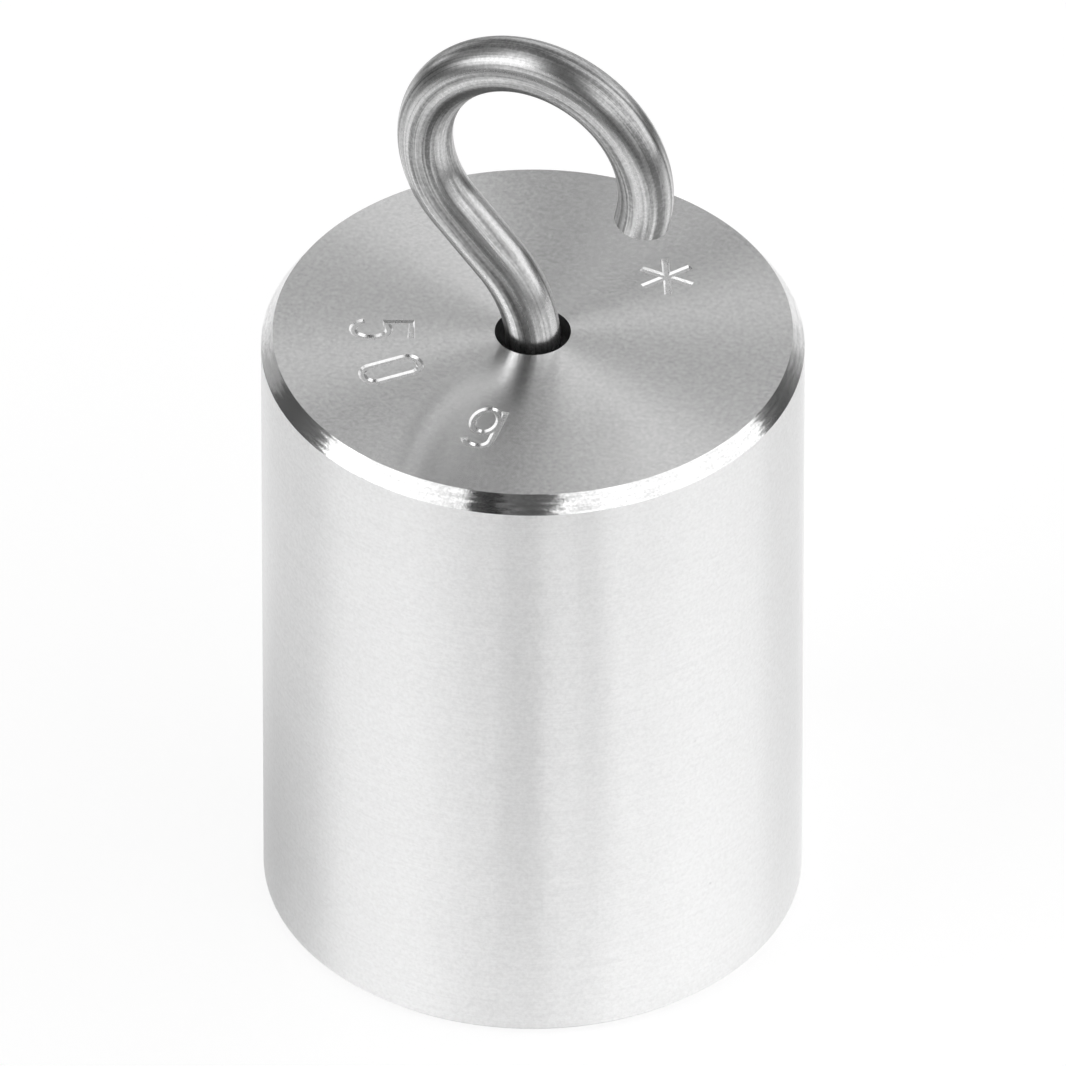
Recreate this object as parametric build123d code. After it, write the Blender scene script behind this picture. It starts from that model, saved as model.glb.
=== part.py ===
"""Hooked calibration weight: a turned steel cylinder hung from a bent wire hook.

Two pieces make the weight. The body is one turned cylinder with a bevelled
top edge, a broken base edge and a stepped blind bore on its axis. The hook is
one round wire whose straight shank stands in the bore's seat. It leaves the
bore through a wider mouth, leans to one side and turns back over the axis in
a round loop, which ends in a flat cut tip.

Units are millimetres. The origin is the centre of the base, +Z is up, and
the hook lies in the XZ plane with its tip towards +X.
"""

from build123d import *
import os

# --- body: the turned cylinder -------------------------------------------
BODY_DIAMETER = 18.5
BODY_HEIGHT = 23.35
TOP_BEVEL_WIDTH = 0.40       # how far the top bevel reaches in from the side
TOP_BEVEL_HEIGHT = 0.60      # how far it reaches down from the top face
BASE_EDGE_BREAK = 0.25       # 45 degree break round the base

# --- hook: the bent wire -------------------------------------------------
WIRE_DIAMETER = 1.9
BEND_START_DEPTH = 0.34      # the wire starts to lean this far below the top face
BEND_RADIUS = 4.5            # centre line of the first bend, away from the tip side
BEND_ANGLE = 43.3            # how far the first bend leans the wire over, degrees
NECK_LENGTH = 2.42           # straight stretch between the two bends
LOOP_RADIUS = 4.1            # centre line of the round loop
TIP_DROP_ANGLE = 12.0        # the loop runs on past level by this much, degrees
TIP_LENGTH = 0.47            # straight stretch at the tip
TIP_EDGE_BREAK = 0.10
SHANK_EDGE_BREAK = 0.20

# --- bore: where the shank stands in the body ----------------------------
SEAT_CLEARANCE = 0.015       # radial gap that the bonding film fills
SEAT_LENGTH = 6.0
MOUTH_CLEARANCE = 0.35       # radial gap round the wire at the top face
MOUTH_DEPTH = 3.0

# --- worked out from the sizes above -------------------------------------
BODY_RADIUS = BODY_DIAMETER / 2
WIRE_RADIUS = WIRE_DIAMETER / 2
SEAT_RADIUS = WIRE_RADIUS + SEAT_CLEARANCE
MOUTH_RADIUS = WIRE_RADIUS + MOUTH_CLEARANCE
SEAT_TOP = BODY_HEIGHT - MOUTH_DEPTH
SEAT_FLOOR = SEAT_TOP - SEAT_LENGTH
BEND_START = BODY_HEIGHT - BEND_START_DEPTH
LOOP_TURN = 180 + BEND_ANGLE + TIP_DROP_ANGLE


def make_body():
    """The body, turned from one profile that carries the bore's steps."""
    profile = Polyline(
        (0, 0),
        (BODY_RADIUS - BASE_EDGE_BREAK, 0),
        (BODY_RADIUS, BASE_EDGE_BREAK),
        (BODY_RADIUS, BODY_HEIGHT - TOP_BEVEL_HEIGHT),
        (BODY_RADIUS - TOP_BEVEL_WIDTH, BODY_HEIGHT),
        (MOUTH_RADIUS, BODY_HEIGHT),
        (MOUTH_RADIUS, SEAT_TOP),
        (SEAT_RADIUS, SEAT_TOP),
        (SEAT_RADIUS, SEAT_FLOOR),
        (0, SEAT_FLOOR),
        close=True,
    )
    return revolve(Plane.XZ * make_face(profile), Axis.Z)


def hook_line():
    """The wire's centre line: straight runs joined by tangent arcs.

    It is drawn with X across and Y up, then stood up in the XZ plane.
    """
    shank = Line((0, SEAT_FLOOR), (0, BEND_START))
    lean = JernArc(shank @ 1, shank % 1, BEND_RADIUS, BEND_ANGLE)
    neck = PolarLine(lean @ 1, NECK_LENGTH, direction=lean % 1)
    loop = JernArc(neck @ 1, neck % 1, LOOP_RADIUS, -LOOP_TURN)
    tip = PolarLine(loop @ 1, TIP_LENGTH, direction=loop % 1)
    return Plane.XZ * Wire([shank, lean, neck, loop, tip])


def break_end(wire, end, size):
    """Break the edge round the flat face that ends the wire at a point."""
    face = wire.faces().sort_by_distance(end)[0]
    return chamfer(face.edges(), size)


def make_hook():
    """The hook: the wire's round section carried along its centre line."""
    line = hook_line()
    section = Plane(line @ 0, z_dir=line % 0) * Circle(WIRE_RADIUS)
    wire = sweep(section, path=line)
    wire = break_end(wire, line @ 0, SHANK_EDGE_BREAK)
    return break_end(wire, line @ 1, TIP_EDGE_BREAK)


def main():
    """Write one STEP file for each piece."""
    os.makedirs("parts", exist_ok=True)
    export_step(make_body(), "parts/body.step")
    export_step(make_hook(), "parts/hook.step")


main()
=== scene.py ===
"""Dress the hooked calibration weight: its turned body, its wire hook and a pale studio.

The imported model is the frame. Its body node is replaced by a body with the
same sizes that also carries the engraved marks and the lathe finishes, and its
hook node by a finely divided wire that knows which way it was drawn. Lengths
are in metres and angles in degrees unless a name says otherwise.
"""

import logging
import math
from collections.abc import Callable, Iterator
from dataclasses import dataclass, field
from enum import Enum
from typing import ClassVar

import bmesh
import bpy
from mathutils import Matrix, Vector
from mathutils.kdtree import KDTree

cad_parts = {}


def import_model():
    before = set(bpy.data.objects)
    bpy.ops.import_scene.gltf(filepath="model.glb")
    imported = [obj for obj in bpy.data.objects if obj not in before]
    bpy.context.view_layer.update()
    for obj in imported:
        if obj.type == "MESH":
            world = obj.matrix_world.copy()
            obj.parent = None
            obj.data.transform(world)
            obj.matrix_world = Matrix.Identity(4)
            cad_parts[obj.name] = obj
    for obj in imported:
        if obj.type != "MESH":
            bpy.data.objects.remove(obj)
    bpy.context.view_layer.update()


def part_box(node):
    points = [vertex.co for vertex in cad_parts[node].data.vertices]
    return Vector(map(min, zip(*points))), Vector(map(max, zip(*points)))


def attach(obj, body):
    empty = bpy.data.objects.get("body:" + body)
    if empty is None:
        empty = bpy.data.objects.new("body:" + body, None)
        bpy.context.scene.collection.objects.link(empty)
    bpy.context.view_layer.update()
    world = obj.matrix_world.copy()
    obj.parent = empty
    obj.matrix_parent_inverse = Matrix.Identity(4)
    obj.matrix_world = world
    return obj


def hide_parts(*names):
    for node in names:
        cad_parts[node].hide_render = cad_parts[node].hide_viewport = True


MM = 0.001
BODY = "root"
BONDING_FILM = 0.015 * MM  # radial gap between the hook's shank and its seat
BEND_START_DEPTH = 0.34 * MM  # the wire starts to lean this far below the top face

log = logging.getLogger("hooked_weight")


# --- small tools for working as by hand ----------------------------------


def rest_selection() -> None:
    """Leave edit mode and deselect every object."""
    if bpy.context.object is not None and bpy.context.object.mode != "OBJECT":
        bpy.ops.object.mode_set(mode="OBJECT")
    bpy.ops.object.select_all(action="DESELECT")


def pick(piece: bpy.types.Object) -> None:
    """Make one object the selected and active one.

    Args:
        piece: the object.
    """
    rest_selection()
    piece.select_set(True)
    bpy.context.view_layer.objects.active = piece


def grow_ring(rise: Vector, scale: float = 1.0) -> None:
    """Extrude the selected ring of edges, move it and resize it level with the floor.

    Args:
        rise: how far the new ring is moved.
        scale: how much wider it becomes, in X and Y, about the upright axis.
    """
    bpy.ops.mesh.extrude_edges_move(TRANSFORM_OT_translate={"value": rise})
    if scale != 1.0:
        bpy.ops.transform.resize(value=(scale, scale, 1.0), center_override=Vector((0, 0, 0)))


def select_where(piece: bpy.types.Object, test: Callable[[Vector], bool]) -> None:
    """Select, in edit mode, the vertices whose place passes a test, and nothing else.

    Args:
        piece: the object in edit mode.
        test: says whether a place is wanted.
    """
    bpy.ops.mesh.select_all(action="DESELECT")
    mesh = bmesh.from_edit_mesh(piece.data)
    for vertex in mesh.verts:
        vertex.select = test(vertex.co)
    mesh.select_flush_mode()
    bmesh.update_edit_mesh(piece.data)


def settle(piece: bpy.types.Object, smooth_angle: float) -> None:
    """Turn all faces outwards and shade round faces smooth, keeping sharper edges hard.

    Args:
        piece: the object.
        smooth_angle: the sharpest edge that is still shaded smooth.
    """
    pick(piece)
    bpy.ops.object.mode_set(mode="EDIT")
    bpy.ops.mesh.select_all(action="SELECT")
    bpy.ops.mesh.normals_make_consistent(inside=False)
    bpy.ops.object.mode_set(mode="OBJECT")
    bpy.ops.object.shade_smooth_by_angle(angle=math.radians(smooth_angle))


# --- shader node helpers -------------------------------------------------


class NodeBoard:
    """A node tree with short ways to add, set and link nodes."""

    def __init__(self, tree: bpy.types.NodeTree) -> None:
        """Work on a tree."""
        self.tree = tree

    def add(self, kind: str, inputs: dict | None = None, **settings: object) -> bpy.types.Node:
        """Add a node.

        Args:
            kind: the node's type name, such as ShaderNodeMath.
            inputs: socket name or index to a value, or to a socket to link from.
            **settings: properties set on the node before its sockets.

        Returns:
            The new node.
        """
        node = self.tree.nodes.new(kind)
        for name, value in settings.items():
            setattr(node, name, value)
        self.feed(node, inputs or {})
        return node

    def feed(self, node: bpy.types.Node, inputs: dict) -> None:
        """Set or link some of a node's sockets.

        Args:
            node: the node.
            inputs: socket name or index to a value, or to a socket to link from.
        """
        for key, value in inputs.items():
            if isinstance(value, bpy.types.NodeSocket):
                self.tree.links.new(value, node.inputs[key])
            else:
                node.inputs[key].default_value = value

    def math(self, operation: str, *values: object) -> bpy.types.NodeSocket:
        """Reckon with numbers.

        Args:
            operation: what the maths node does.
            *values: its numbers, or sockets to link from.

        Returns:
            The result.
        """
        node = self.add("ShaderNodeMath", dict(enumerate(values)), operation=operation)
        return node.outputs[0]

    def vector(self, operation: str, *values: object) -> bpy.types.NodeSocket:
        """Reckon with vectors and get a vector.

        Args:
            operation: what the vector maths node does.
            *values: its vectors, or sockets to link from.

        Returns:
            The result.
        """
        node = self.add("ShaderNodeVectorMath", dict(enumerate(values)), operation=operation)
        return node.outputs["Vector"]

    def scaled(self, vector: object, factor: object) -> bpy.types.NodeSocket:
        """Make a vector longer or shorter."""
        node = self.add("ShaderNodeVectorMath", {0: vector, "Scale": factor}, operation="SCALE")
        return node.outputs["Vector"]

    def distance(self, start: object, end: object) -> bpy.types.NodeSocket:
        """Measure from one place to another."""
        node = self.add("ShaderNodeVectorMath", {0: start, 1: end}, operation="DISTANCE")
        return node.outputs["Value"]

    def joined(self, x: object = 0.0, y: object = 0.0, z: object = 0.0) -> bpy.types.NodeSocket:
        """Make a vector of three numbers."""
        return self.add("ShaderNodeCombineXYZ", {0: x, 1: y, 2: z}).outputs[0]

    def split(self, vector: object) -> tuple[bpy.types.NodeSocket, ...]:
        """Take a vector apart into its three numbers."""
        return tuple(self.add("ShaderNodeSeparateXYZ", {0: vector}).outputs)

    def place(self) -> bpy.types.NodeSocket:
        """Get the place on the piece, in its own coordinates."""
        return self.add("ShaderNodeTexCoord").outputs["Object"]

    def noted(self, attribute: str) -> bpy.types.NodeSocket:
        """Get a vector that the mesh carries."""
        return self.add("ShaderNodeAttribute", attribute_name=attribute).outputs["Vector"]

    def noise(self, where: object, detail: float, roughness: float) -> bpy.types.NodeSocket:
        """Make cloudy noise, one cloud to each unit of the place.

        Args:
            where: the place.
            detail: how many finer layers are added.
            roughness: how strong the finer layers are.

        Returns:
            The noise, about 0.5 in the mean.
        """
        clouds = {"Vector": where, "Scale": 1.0, "Detail": detail, "Roughness": roughness}
        return self.add("ShaderNodeTexNoise", clouds).outputs[0]

    def ramp(
        self, value: object, low: float, high: float, to_low: float, to_high: float
    ) -> bpy.types.NodeSocket:
        """Carry a value smoothly from one range to another, and hold it beyond.

        Args:
            value: the value.
            low: where the first range starts.
            high: where it ends.
            to_low: what low becomes.
            to_high: what high becomes.

        Returns:
            The carried value.
        """
        ends = {"From Min": low, "From Max": high, "To Min": to_low, "To Max": to_high}
        node = self.add(
            "ShaderNodeMapRange", {"Value": value, **ends}, interpolation_type="SMOOTHSTEP"
        )
        return node.outputs["Result"]

    def scale(self, value: object, low: float, high: float) -> bpy.types.NodeSocket:
        """Carry a mask from 0..1 straight to another range."""
        node = self.add("ShaderNodeMapRange", {"Value": value, "To Min": low, "To Max": high})
        return node.outputs["Result"]

    def mix(self, mask: object, first: object, second: object) -> bpy.types.NodeSocket:
        """Go from one number to another by a mask."""
        return self.add("ShaderNodeMix", {0: mask, 2: first, 3: second}).outputs[0]

    def grey(self, mask: object, dark: float, light: float) -> bpy.types.NodeSocket:
        """Mix two greys by a mask.

        Args:
            mask: 0 for the dark one and 1 for the light one.
            dark: the dark grey.
            light: the light grey.

        Returns:
            The colour.
        """
        greys = {6: (dark, dark, dark, 1), 7: (light, light, light, 1)}
        return self.add("ShaderNodeMix", {0: mask, **greys}, data_type="RGBA").outputs[2]

    def bump(
        self, height: object, strength: float, distance: float, normal: object | None = None
    ) -> bpy.types.NodeSocket:
        """Raise a surface by a height.

        Args:
            height: the height, from 0 to 1.
            strength: how much of the bump shows.
            distance: how high 1 is.
            normal: the normal that the bump is added to, if not the surface's own.

        Returns:
            The new normal.
        """
        inputs = {"Height": height, "Strength": strength, "Distance": distance}
        if normal is not None:
            inputs["Normal"] = normal
        return self.add("ShaderNodeBump", inputs).outputs[0]


class GroupBoard(NodeBoard):
    """A shader node group with named number inputs and outputs."""

    def __init__(self, name: str, inputs: dict[str, float], outputs: tuple[str, ...]) -> None:
        """Start the group.

        Args:
            name: the group's name.
            inputs: each input's name and starting value.
            outputs: the outputs' names.
        """
        super().__init__(bpy.data.node_groups.new(name, "ShaderNodeTree"))
        sockets = self.tree.interface
        for label, value in inputs.items():
            socket = sockets.new_socket(label, in_out="INPUT", socket_type="NodeSocketFloat")
            socket.default_value = value
        for label in outputs:
            sockets.new_socket(label, in_out="OUTPUT", socket_type="NodeSocketFloat")
        self.source = self.tree.nodes.new("NodeGroupInput")
        self.sink = self.tree.nodes.new("NodeGroupOutput")

    def given(self, label: str) -> bpy.types.NodeSocket:
        """Get one of the group's inputs."""
        return self.source.outputs[label]

    def give(self, label: str, value: bpy.types.NodeSocket) -> None:
        """Send a value out of the group."""
        self.tree.links.new(value, self.sink.inputs[label])


# --- effects that several finishes share ---------------------------------


@dataclass
class Effects:
    """The node groups that more than one finish uses, each built once.

    Attributes:
        waver_shift: parts the waver from the lines, which are the same noise.
        patches_per_mm: how fine the patches are in which the lines are deeper.
        pit_spacing: how many grains apart the pits are.
        pit_floor: how far a pit's flat floor reaches, in pit spacings.
        pit_edge: how far the whole pit reaches.
    """

    waver_shift: tuple[float, float, float] = (31.0, 17.0, 0.0)
    patches_per_mm: float = 0.7
    pit_spacing: float = 20.0
    pit_floor: float = 0.008
    pit_edge: float = 0.03

    def __post_init__(self) -> None:
        """Build the groups."""
        self.turning = self._turning_lines()
        self.grain = self._metal_grain()

    def put(
        self, board: NodeBoard, group: bpy.types.NodeTree, values: dict[str, float]
    ) -> bpy.types.Node:
        """Put a group in a material with its own values.

        Args:
            board: the material's board.
            group: the group to put there.
            values: input name to number.

        Returns:
            The group node.
        """
        node = board.add("ShaderNodeGroup", node_tree=group)
        board.feed(node, values)
        return node

    def _turning_lines(self) -> bpy.types.NodeTree:
        """Make the fine lines that the lathe tool leaves, round the body's axis.

        Returns:
            The group, which gives the lines, a waver as fine as they are, and wide patches.
        """
        board = GroupBoard(
            "turning_lines",
            {"Lines per mm": 8.0, "Length mm": 6.0, "Seed": 0.0},
            ("Lines", "Waver", "Patches"),
        )
        place = board.place()
        x, y, z = board.split(place)
        radius = board.distance(board.joined(x, y), (0, 0, 0))
        along = board.math("DIVIDE", 1 / MM, board.given("Length mm"))
        across = board.math("DIVIDE", board.given("Lines per mm"), MM)
        line = board.math("MULTIPLY_ADD", board.math("ADD", radius, z), across, board.given("Seed"))
        where = board.joined(
            board.math("MULTIPLY", x, along), board.math("MULTIPLY", y, along), line
        )
        board.give("Lines", board.noise(where, detail=3.0, roughness=0.6))
        beside = board.vector("ADD", where, self.waver_shift)
        board.give("Waver", board.noise(beside, detail=3.0, roughness=0.6))
        broad = board.scaled(place, self.patches_per_mm / MM)
        board.give("Patches", board.noise(broad, detail=2.0, roughness=0.5))
        return board.tree

    def _metal_grain(self) -> bpy.types.NodeTree:
        """Make the fine even speckle of a satin metal surface, with a few small pits.

        Returns:
            The group, which gives the grain and the pits.
        """
        board = GroupBoard("metal_grain", {"Grains per mm": 9.0, "Seed": 0.0}, ("Grain", "Pits"))
        fine = board.math("DIVIDE", board.given("Grains per mm"), MM)
        seed = board.given("Seed")
        where = board.vector("ADD", board.scaled(board.place(), fine), board.joined(seed, seed, seed))
        spread_out = board.scaled(where, 1 / self.pit_spacing)
        cells = board.add(
            "ShaderNodeTexVoronoi", {"Vector": spread_out, "Scale": 1.0, "Randomness": 1.0}
        )
        board.give("Grain", board.noise(where, detail=2.0, roughness=0.7))
        pits = board.ramp(cells.outputs["Distance"], self.pit_floor, self.pit_edge, 1.0, 0.0)
        board.give("Pits", pits)
        return board.tree


# --- finishes ------------------------------------------------------------


def new_steel(name: str, spread: float) -> tuple[bpy.types.Material, NodeBoard, bpy.types.Node]:
    """Start a bare steel whose shine spreads further across its lines than along them.

    Args:
        name: the material's name.
        spread: how much further.

    Returns:
        The material, its board and its shader node.
    """
    across_the_lines = 0.25
    material = bpy.data.materials.new(name)
    material.use_nodes = True
    board = NodeBoard(material.node_tree)
    shader = board.tree.nodes["Principled BSDF"]
    shader.inputs["Metallic"].default_value = 1.0
    shader.inputs["Anisotropic"].default_value = spread
    shader.inputs["Anisotropic Rotation"].default_value = across_the_lines
    return material, board, shader


@dataclass(frozen=True)
class LatheFinish:
    """A turned steel surface.

    Attributes:
        name: the material's name.
        dark: grey in the valleys of the tool lines.
        light: grey on their crests.
        smooth: roughness on the crests.
        rough: roughness in the valleys.
        spread: how much further the shine spreads across the lines than along them.
        lines_per_mm: how fine the tool lines are.
        line_length: how long one line keeps its depth, in millimetres.
        grains_per_mm: how fine the grain is.
        line_tone: how plainly the lines show as lighter and darker.
        grain_tone: how plainly the grain does.
        line_depth: strength of the bump that the lines make.
        grain_depth: strength of the bump that the grain makes.
        waver: how far the surface leans to and fro along a line, which frays reflections.
        pitted: how dark its few pits are.
        seed: moves the pattern.
        line_left: how much of the lines is left between the patches.
        patch_gain: how much more of them the patches bring.
        line_height: how high the lines stand at full strength.
        grain_height: how high the grain stands at full strength.
    """

    name: str
    dark: float
    light: float
    smooth: float
    rough: float
    spread: float
    lines_per_mm: float = 12.0
    line_length: float = 5.0
    grains_per_mm: float = 9.0
    line_tone: float = 1.0
    grain_tone: float = 1.6
    line_depth: float = 0.2
    grain_depth: float = 0.2
    waver: float = 0.0
    pitted: float = 0.3
    seed: float = 0.0
    line_left: float = 0.2
    patch_gain: float = 2.0
    line_height: float = 0.002 * MM
    grain_height: float = 0.004 * MM

    def build(self, effects: Effects) -> bpy.types.Material:
        """Make the material.

        Args:
            effects: the shared node groups.

        Returns:
            The finished material.
        """
        material, board, shader = new_steel(self.name, self.spread)
        turning = effects.put(
            board,
            effects.turning,
            {"Lines per mm": self.lines_per_mm, "Length mm": self.line_length, "Seed": self.seed},
        )
        grain = effects.put(
            board, effects.grain, {"Grains per mm": self.grains_per_mm, "Seed": self.seed}
        )
        mask = self._tone(board, turning, grain)
        pits = board.math("MULTIPLY", grain.outputs["Pits"], self.pitted)
        clean = board.math("SUBTRACT", 1.0, pits)
        tangent = board.add("ShaderNodeTangent", direction_type="RADIAL", axis="Z").outputs[0]
        leaning = self._leaning(board, turning.outputs["Waver"], tangent)
        lined = board.bump(turning.outputs["Lines"], self.line_depth, self.line_height, leaning)
        speckle = board.math("SUBTRACT", grain.outputs["Grain"], grain.outputs["Pits"])
        surface = {
            "Base Color": board.scaled(board.grey(mask, self.dark, self.light), clean),
            "Roughness": board.scale(mask, self.rough, self.smooth),
            "Normal": board.bump(speckle, self.grain_depth, self.grain_height, lined),
            "Tangent": tangent,
        }
        board.feed(shader, surface)
        return material

    def _tone(
        self, board: NodeBoard, turning: bpy.types.Node, grain: bpy.types.Node
    ) -> bpy.types.NodeSocket:
        """Lay the lines, deeper in some patches, over the grain.

        Args:
            board: the material's board.
            turning: the node of the turning lines.
            grain: the node of the metal grain.

        Returns:
            A mask, 0 where the metal is dark and 1 where it is light.
        """
        lines = board.math(
            "MULTIPLY_ADD", turning.outputs["Lines"], self.line_tone, -self.line_tone / 2
        )
        share = board.math(
            "MULTIPLY_ADD", turning.outputs["Patches"], self.patch_gain, self.line_left
        )
        specks = board.math(
            "MULTIPLY_ADD", grain.outputs["Grain"], self.grain_tone, 0.5 - self.grain_tone / 2
        )
        return board.math("MULTIPLY_ADD", lines, share, specks)

    def _leaning(
        self, board: NodeBoard, waver: bpy.types.NodeSocket, tangent: bpy.types.NodeSocket
    ) -> bpy.types.NodeSocket:
        """Lean the surface's normal to and fro along the tool lines.

        Args:
            board: the material's board.
            waver: how far it leans at each place, with 0.5 for upright.
            tangent: which way the lines run.

        Returns:
            The leaning normal.
        """
        lean = board.math("MULTIPLY", board.math("SUBTRACT", waver, 0.5), self.waver)
        upright = board.add("ShaderNodeNewGeometry").outputs["Normal"]
        moved = board.vector("ADD", upright, board.scaled(tangent, lean))
        return board.vector("NORMALIZE", moved)


@dataclass(frozen=True)
class WireFinish:
    """Drawn steel wire, streaked along its length by the die.

    Attributes:
        name: the material's name.
        dark: grey in the streaks.
        light: grey between them.
        smooth: roughness between them.
        rough: roughness in them.
        spread: how much further the shine spreads across the streaks than along them.
        streaks_per_mm: how fine the streaks are.
        bands_per_mm: how fine the broader bands under them are.
        streak_length: how long one streak keeps its depth.
        streak_share: how much of the tone is streaks, where the rest is bands.
        tone_range: the part of the noise that goes from dark to light.
        grain_range: the part of the grain that shows.
        grain_tone: how far it shows, darker and lighter.
        streak_depth: strength of the bump that the streaks make.
        streak_height: how high they are at full strength.
        grain_depth: strength of the bump that the grain makes.
        grain_height: how high it is.
        seed: moves the grain.
    """

    name: str = "drawn_wire"
    dark: float = 0.22
    light: float = 0.72
    smooth: float = 0.27
    rough: float = 0.36
    spread: float = 0.2
    streaks_per_mm: float = 7.0
    bands_per_mm: float = 1.75
    streak_length: float = 9.0 * MM
    streak_share: float = 0.55
    tone_range: tuple[float, float] = (0.36, 0.62)
    grain_range: tuple[float, float] = (0.35, 0.65)
    grain_tone: tuple[float, float] = (-0.14, 0.10)
    streak_depth: float = 0.7
    streak_height: float = 0.014 * MM
    grain_depth: float = 0.2
    grain_height: float = 0.002 * MM
    seed: float = 3.0

    def build(self, effects: Effects) -> bpy.types.Material:
        """Make the material.

        Args:
            effects: the shared node groups.

        Returns:
            The finished material.
        """
        material, board, shader = new_steel(self.name, self.spread)
        fine = self._drawn_out(board, self.streaks_per_mm / MM)
        broad = self._drawn_out(board, self.bands_per_mm / MM)
        streaks = board.noise(fine, detail=4.0, roughness=0.65)
        bands = board.noise(broad, detail=2.0, roughness=0.5)
        grain = effects.put(board, effects.grain, {"Seed": self.seed}).outputs["Grain"]
        rest = board.math("MULTIPLY", bands, 1 - self.streak_share)
        tone = board.math("MULTIPLY_ADD", streaks, self.streak_share, rest)
        speckle = board.ramp(grain, *self.grain_range, *self.grain_tone)
        clear = board.math("ADD", board.ramp(tone, *self.tone_range, 0.0, 1.0), speckle)
        streaked = board.bump(streaks, self.streak_depth, self.streak_height)
        surface = {
            "Base Color": board.grey(clear, self.dark, self.light),
            "Roughness": board.scale(clear, self.rough, self.smooth),
            "Normal": board.bump(grain, self.grain_depth, self.grain_height, streaked),
            "Tangent": board.noted(HookWire.DIRECTION),
        }
        board.feed(shader, surface)
        return material

    def _drawn_out(self, board: NodeBoard, fine: float) -> bpy.types.NodeSocket:
        """Get the place on the straightened wire, drawn out along it.

        Args:
            board: the material's board.
            fine: how many units one metre across the wire becomes.

        Returns:
            The place.
        """
        straight = board.noted(HookWire.STRAIGHTENED)
        return board.vector("MULTIPLY", straight, (fine, fine, 1 / self.streak_length))


class Region(Enum):
    """The surfaces of the body that the lathe or the graver leaves different."""

    SIDE = LatheFinish(
        "turned_side",
        dark=0.91,
        light=1.0,
        smooth=0.29,
        rough=0.34,
        spread=1.0,
        lines_per_mm=14.0,
        grains_per_mm=7.0,
        line_tone=0.8,
        grain_tone=2.6,
        line_depth=0.16,
        grain_depth=0.12,
        waver=0.05,
        pitted=0.15,
        seed=1.0,
    )
    TOP = LatheFinish(
        "faced_top",
        dark=0.74,
        light=0.90,
        smooth=0.22,
        rough=0.25,
        spread=0.985,
        lines_per_mm=16.0,
        line_length=6.0,
        grains_per_mm=6.5,
        line_tone=0.3,
        grain_tone=2.0,
        line_depth=0.06,
        grain_depth=0.15,
        waver=0.02,
        seed=5.0,
    )
    BEVEL = LatheFinish(
        "bright_bevel",
        dark=0.74,
        light=1.0,
        smooth=0.15,
        rough=0.20,
        spread=0.85,
        lines_per_mm=30.0,
        line_length=0.8,
        line_tone=1.8,
        grain_tone=2.0,
        line_depth=0.20,
        grain_depth=0.35,
        waver=0.12,
        pitted=0.0,
        seed=9.0,
    )
    BORE = LatheFinish(
        "bored_mouth", dark=0.65, light=0.85, smooth=0.28, rough=0.38, spread=0.3, line_depth=0.4, seed=13.0
    )
    MARK = LatheFinish(
        "graver_cut", dark=0.78, light=0.92, smooth=0.24, rough=0.32, spread=0.0, line_length=1.0, seed=17.0
    )
    BASE = LatheFinish(
        "faced_base", dark=0.74, light=0.88, smooth=0.26, rough=0.32, spread=0.95, line_depth=0.3, seed=21.0
    )


# --- the engraved marks --------------------------------------------------

Stroke = list[tuple[float, float]]


def arc(
    centre: tuple[float, float], radii: tuple[float, float], start: float, end: float, steps: int
) -> Stroke:
    """Place points along an upright elliptical arc, in the units of its radii.

    Args:
        centre: the ellipse's centre.
        radii: its half width and half height.
        start: the first angle, anticlockwise from the right.
        end: the last angle.
        steps: how many stretches the arc has.

    Returns:
        The arc's points.
    """
    turns = (math.radians(start + (end - start) * i / steps) for i in range(steps + 1))
    return [(centre[0] + radii[0] * math.cos(t), centre[1] + radii[1] * math.sin(t)) for t in turns]


def five() -> Iterator[Stroke]:
    """Draw a plain 5, two units high about its centre."""
    bowl = arc((-0.02, -0.38), (0.45, 0.60), 118, -158, 22)
    yield [(0.46, 0.97), (-0.42, 0.97), (-0.42, 0.10), *bowl]


def nought() -> Iterator[Stroke]:
    """Draw a plain 0 with straight sides.

    Returns:
        Its one stroke.
    """
    straight = 0.62
    round_end = (0.43, 0.38)
    top = arc((0, straight), round_end, 0, 180, 14)
    foot = arc((0, -straight), round_end, 180, 360, 14)
    yield [*top, *foot, top[0]]


def small_g() -> Iterator[Stroke]:
    """Draw a small g, a closed bowl and a stem with its tail.

    Returns:
        Its two strokes.
    """
    yield arc((0, 0.36), (0.43, 0.62), 0, 360, 28)
    tail = arc((0.02, -0.58), (0.45, 0.42), 0, -165, 14)
    yield [(0.47, 1.02), (0.47, -0.55), *tail]


def star() -> Iterator[Stroke]:
    """Draw a star of three crossed lines, which tells twin weights apart.

    Returns:
        Its three strokes.
    """
    reach = 0.95
    for turn in (90, 30, -30):
        c, s = math.cos(math.radians(turn)), math.sin(math.radians(turn))
        yield [(-reach * c, -reach * s), (reach * c, reach * s)]


@dataclass(frozen=True)
class Mark:
    """One engraved sign, upright towards the body's axis.

    Attributes:
        strokes: makes the strokes in units of half the sign's height.
        angle: where it stands round the axis.
        radius: how far its centre is from the axis.
        height: how tall it is.
    """

    strokes: Callable[[], Iterator[Stroke]]
    angle: float
    radius: float = 5.2 * MM
    height: float = 2.05 * MM

    def lines(self) -> Iterator[list[Vector]]:
        """Lay the strokes out as seen from above, at height 0.

        Returns:
            Each stroke's points in turn.
        """
        turn = math.radians(self.angle)
        out = Vector((math.cos(turn), math.sin(turn), 0))
        right = Vector((-math.sin(turn), math.cos(turn), 0))
        unit = self.height / 2
        for stroke in self.strokes():
            yield [out * (self.radius - v * unit) + right * (u * unit) for u, v in stroke]


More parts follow.
